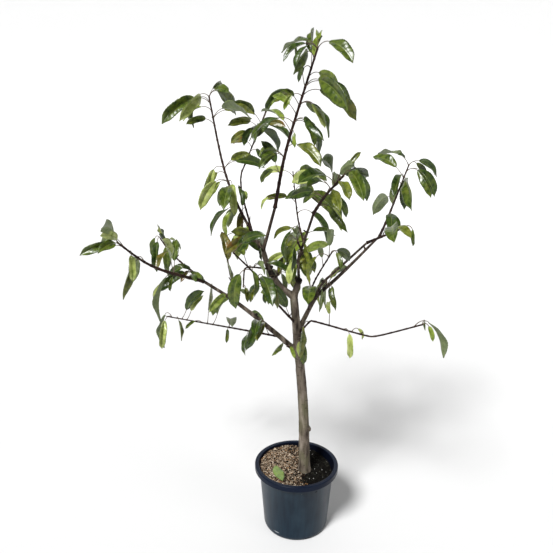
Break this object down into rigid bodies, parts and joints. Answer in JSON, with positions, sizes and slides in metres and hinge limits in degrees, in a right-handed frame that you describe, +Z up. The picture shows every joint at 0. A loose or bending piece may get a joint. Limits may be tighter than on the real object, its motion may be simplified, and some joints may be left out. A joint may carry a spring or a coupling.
{
  "type": "potted cherry tree",
  "caption": "Young fruiting cherry tree with a slim trunk, spreading boughs and loose drooping leaves, growing in a round nursery pot with a turned-down rim.",
  "frame": {"origin": "centre of the pot's flat underside, on the surface that the pot stands on", "axes": "+Z up along the tree, +X to the right and -Y towards whoever looks at the tree's best side"},
  "size_m": [1.0553, 0.8718, 1.5852],
  "materials": {
    "pot_plastic": "moulded, matte, blue-black",
    "soil_bark": "loose bark chips and dark potting soil",
    "tree_bark": "grey-brown young bark",
    "leaf_green": "dark green leaves, duller and paler beneath"
  },
  "bodies": {
    "root": {"pot": "pot_plastic", "soil": "soil_bark", "fallen_leaf": "leaf_green", "trunk": "tree_bark", "left_leader": "tree_bark", "left_fork": "tree_bark", "tall_shoot_foot": "tree_bark", "right_fork": "tree_bark", "centre_leader": "tree_bark", "left_bough": "tree_bark", "right_bough": "tree_bark", "right_front_bough": "tree_bark", "tall_crown": "leaf_green", "upper_left_crown": "leaf_green", "kinked_shoot": "leaf_green", "left_fork_spur": "leaf_green", "hooked_twig": "leaf_green", "leader_spur": "leaf_green", "centre_crown": "leaf_green", "centre_twig": "leaf_green", "centre_left_spur": "leaf_green", "centre_low_spur": "leaf_green", "centre_right_spur": "leaf_green", "left_end": "leaf_green", "left_upper_shoot": "leaf_green", "left_middle_spur": "leaf_green", "upright_shoot": "leaf_green", "left_low_spur": "leaf_green", "low_left_whip": "leaf_green", "diagonal_shoot": "leaf_green", "right_crown": "leaf_green", "right_side_shoot": "leaf_green", "inner_twig": "leaf_green", "right_low_spur": "leaf_green", "low_right_whip": "leaf_green", "trunk_front_leaf": "leaf_green", "trunk_side_leaf": "leaf_green"}
  },
  "joints": []
}
